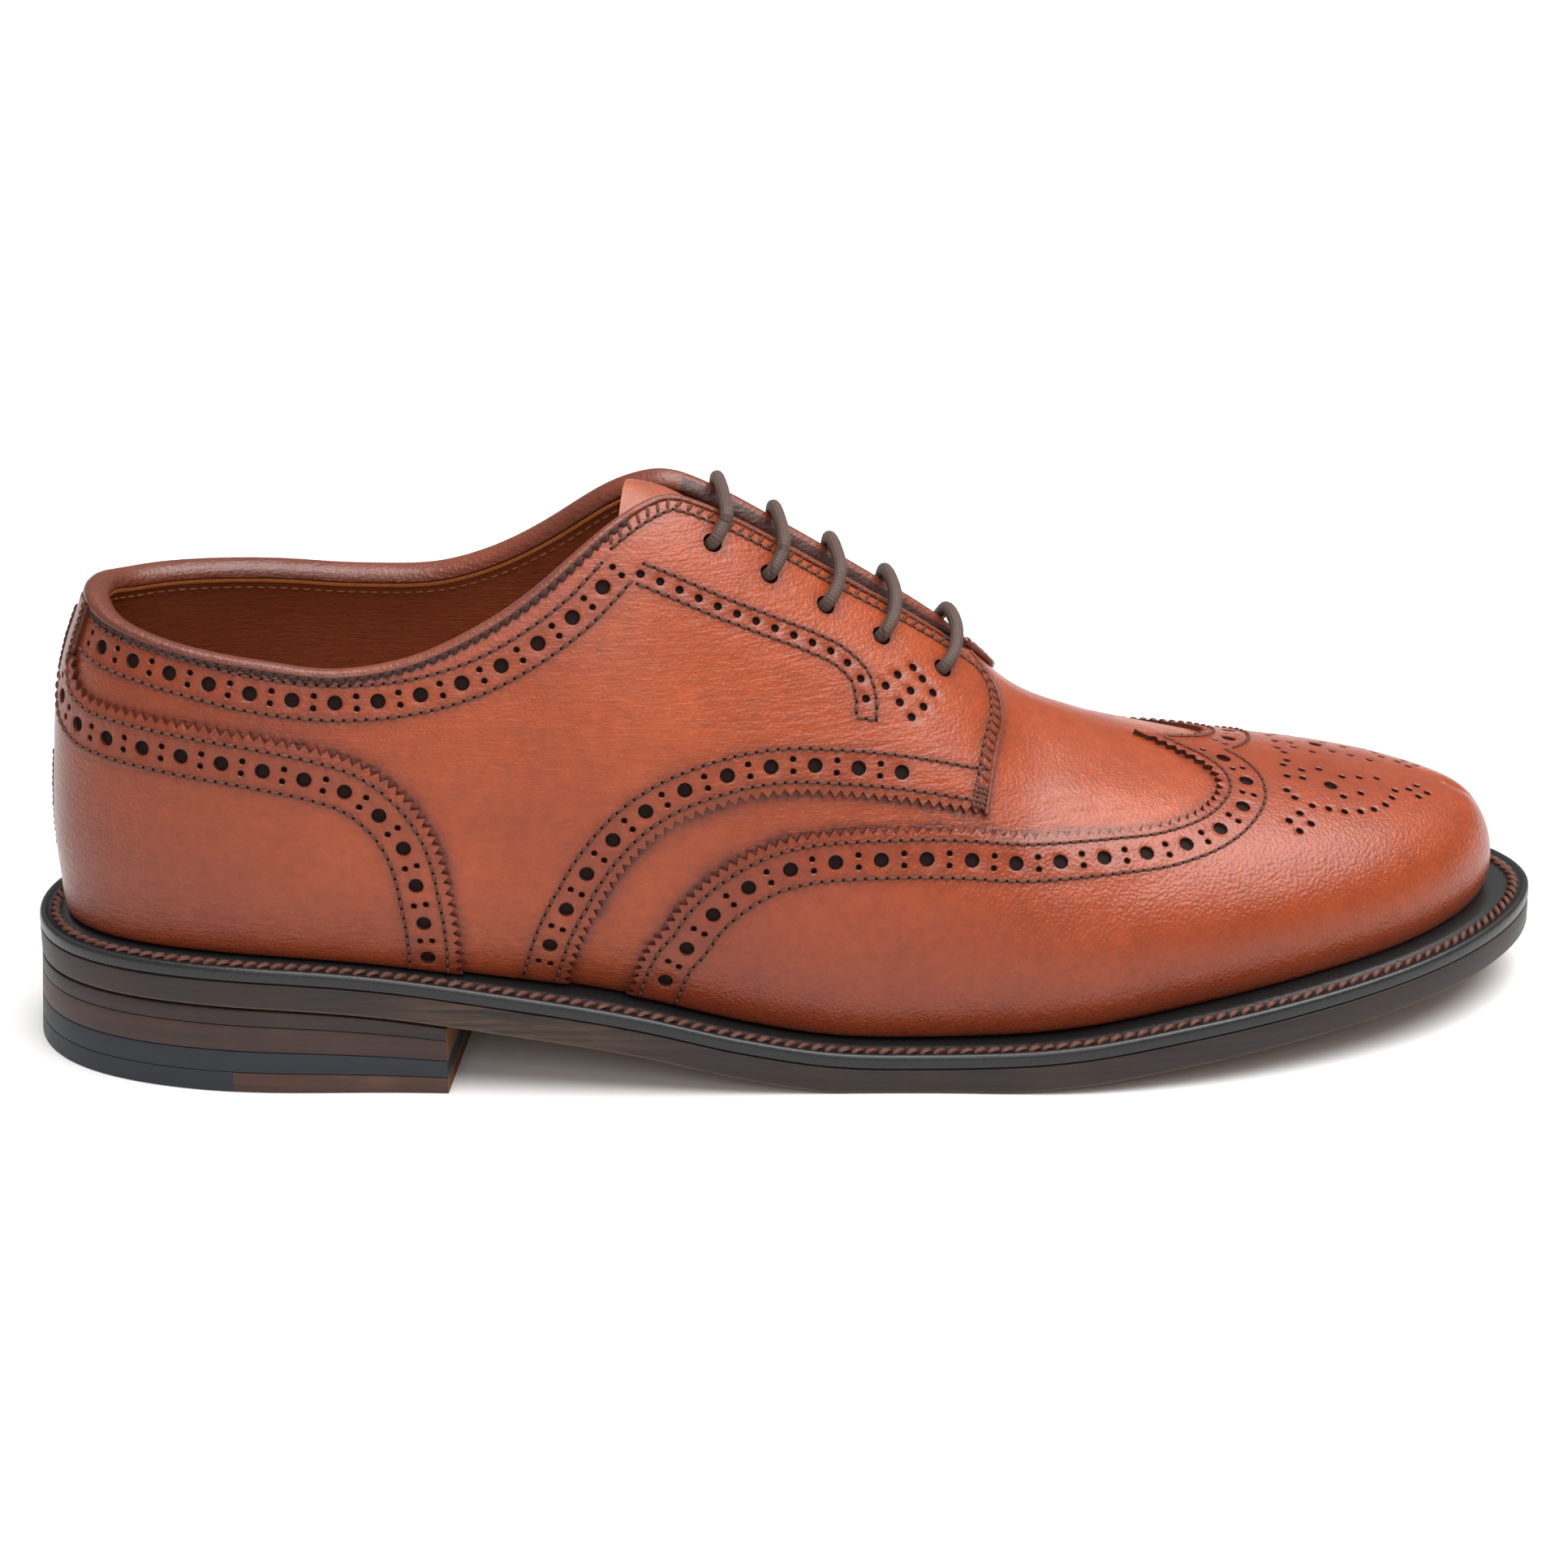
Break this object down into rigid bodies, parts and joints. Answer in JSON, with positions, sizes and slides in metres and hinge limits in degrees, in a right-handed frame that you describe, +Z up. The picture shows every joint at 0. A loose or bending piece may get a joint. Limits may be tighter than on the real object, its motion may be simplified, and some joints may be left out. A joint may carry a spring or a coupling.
{
  "type": "brogue derby shoe",
  "caption": "Brogue lace-up derby dress shoe with wing cap, heel counter, open lacing over a tongue, storm-stitched welt, leather sole and stacked heel; right foot.",
  "frame": {"origin": "middle of the shoe's length and breadth, on the floor that the heel and the ball of the sole stand on", "axes": "+X towards the toe, +Z up, +Y towards the inner (medial) side of the right foot"},
  "size_m": [0.309, 0.1044, 0.1141],
  "materials": {
    "upper_leather": "polished cognac calf, burnished darker at the heel and toe",
    "binding": "dark brown folded calf, satin",
    "lining_leather": "smooth tan lining leather, matt",
    "sole_edge": "dark brown waxed edge of leather",
    "heel_leather": "brown waxed edge of stacked leather",
    "welt_black": "black waxed welt leather with a glossy rounded edge",
    "heel_rubber": "blue-black rubber, satin",
    "lace_cotton": "dark brown waxed round cotton"
  },
  "bodies": {
    "root": {"collar_binding": "binding", "heel_counter": "upper_leather", "heel_lift_lower": "heel_leather", "heel_lift_upper": "sole_edge", "heel_rubber_layer": "heel_rubber", "insole": "lining_leather", "lace": "lace_cotton", "outsole": "sole_edge", "quarter_lateral": "upper_leather", "quarter_medial": "upper_leather", "tongue": "upper_leather", "top_piece_leather": "heel_leather", "top_piece_rubber": "heel_rubber", "upper": "upper_leather", "welt": "welt_black", "wing_cap": "upper_leather"}
  },
  "joints": []
}
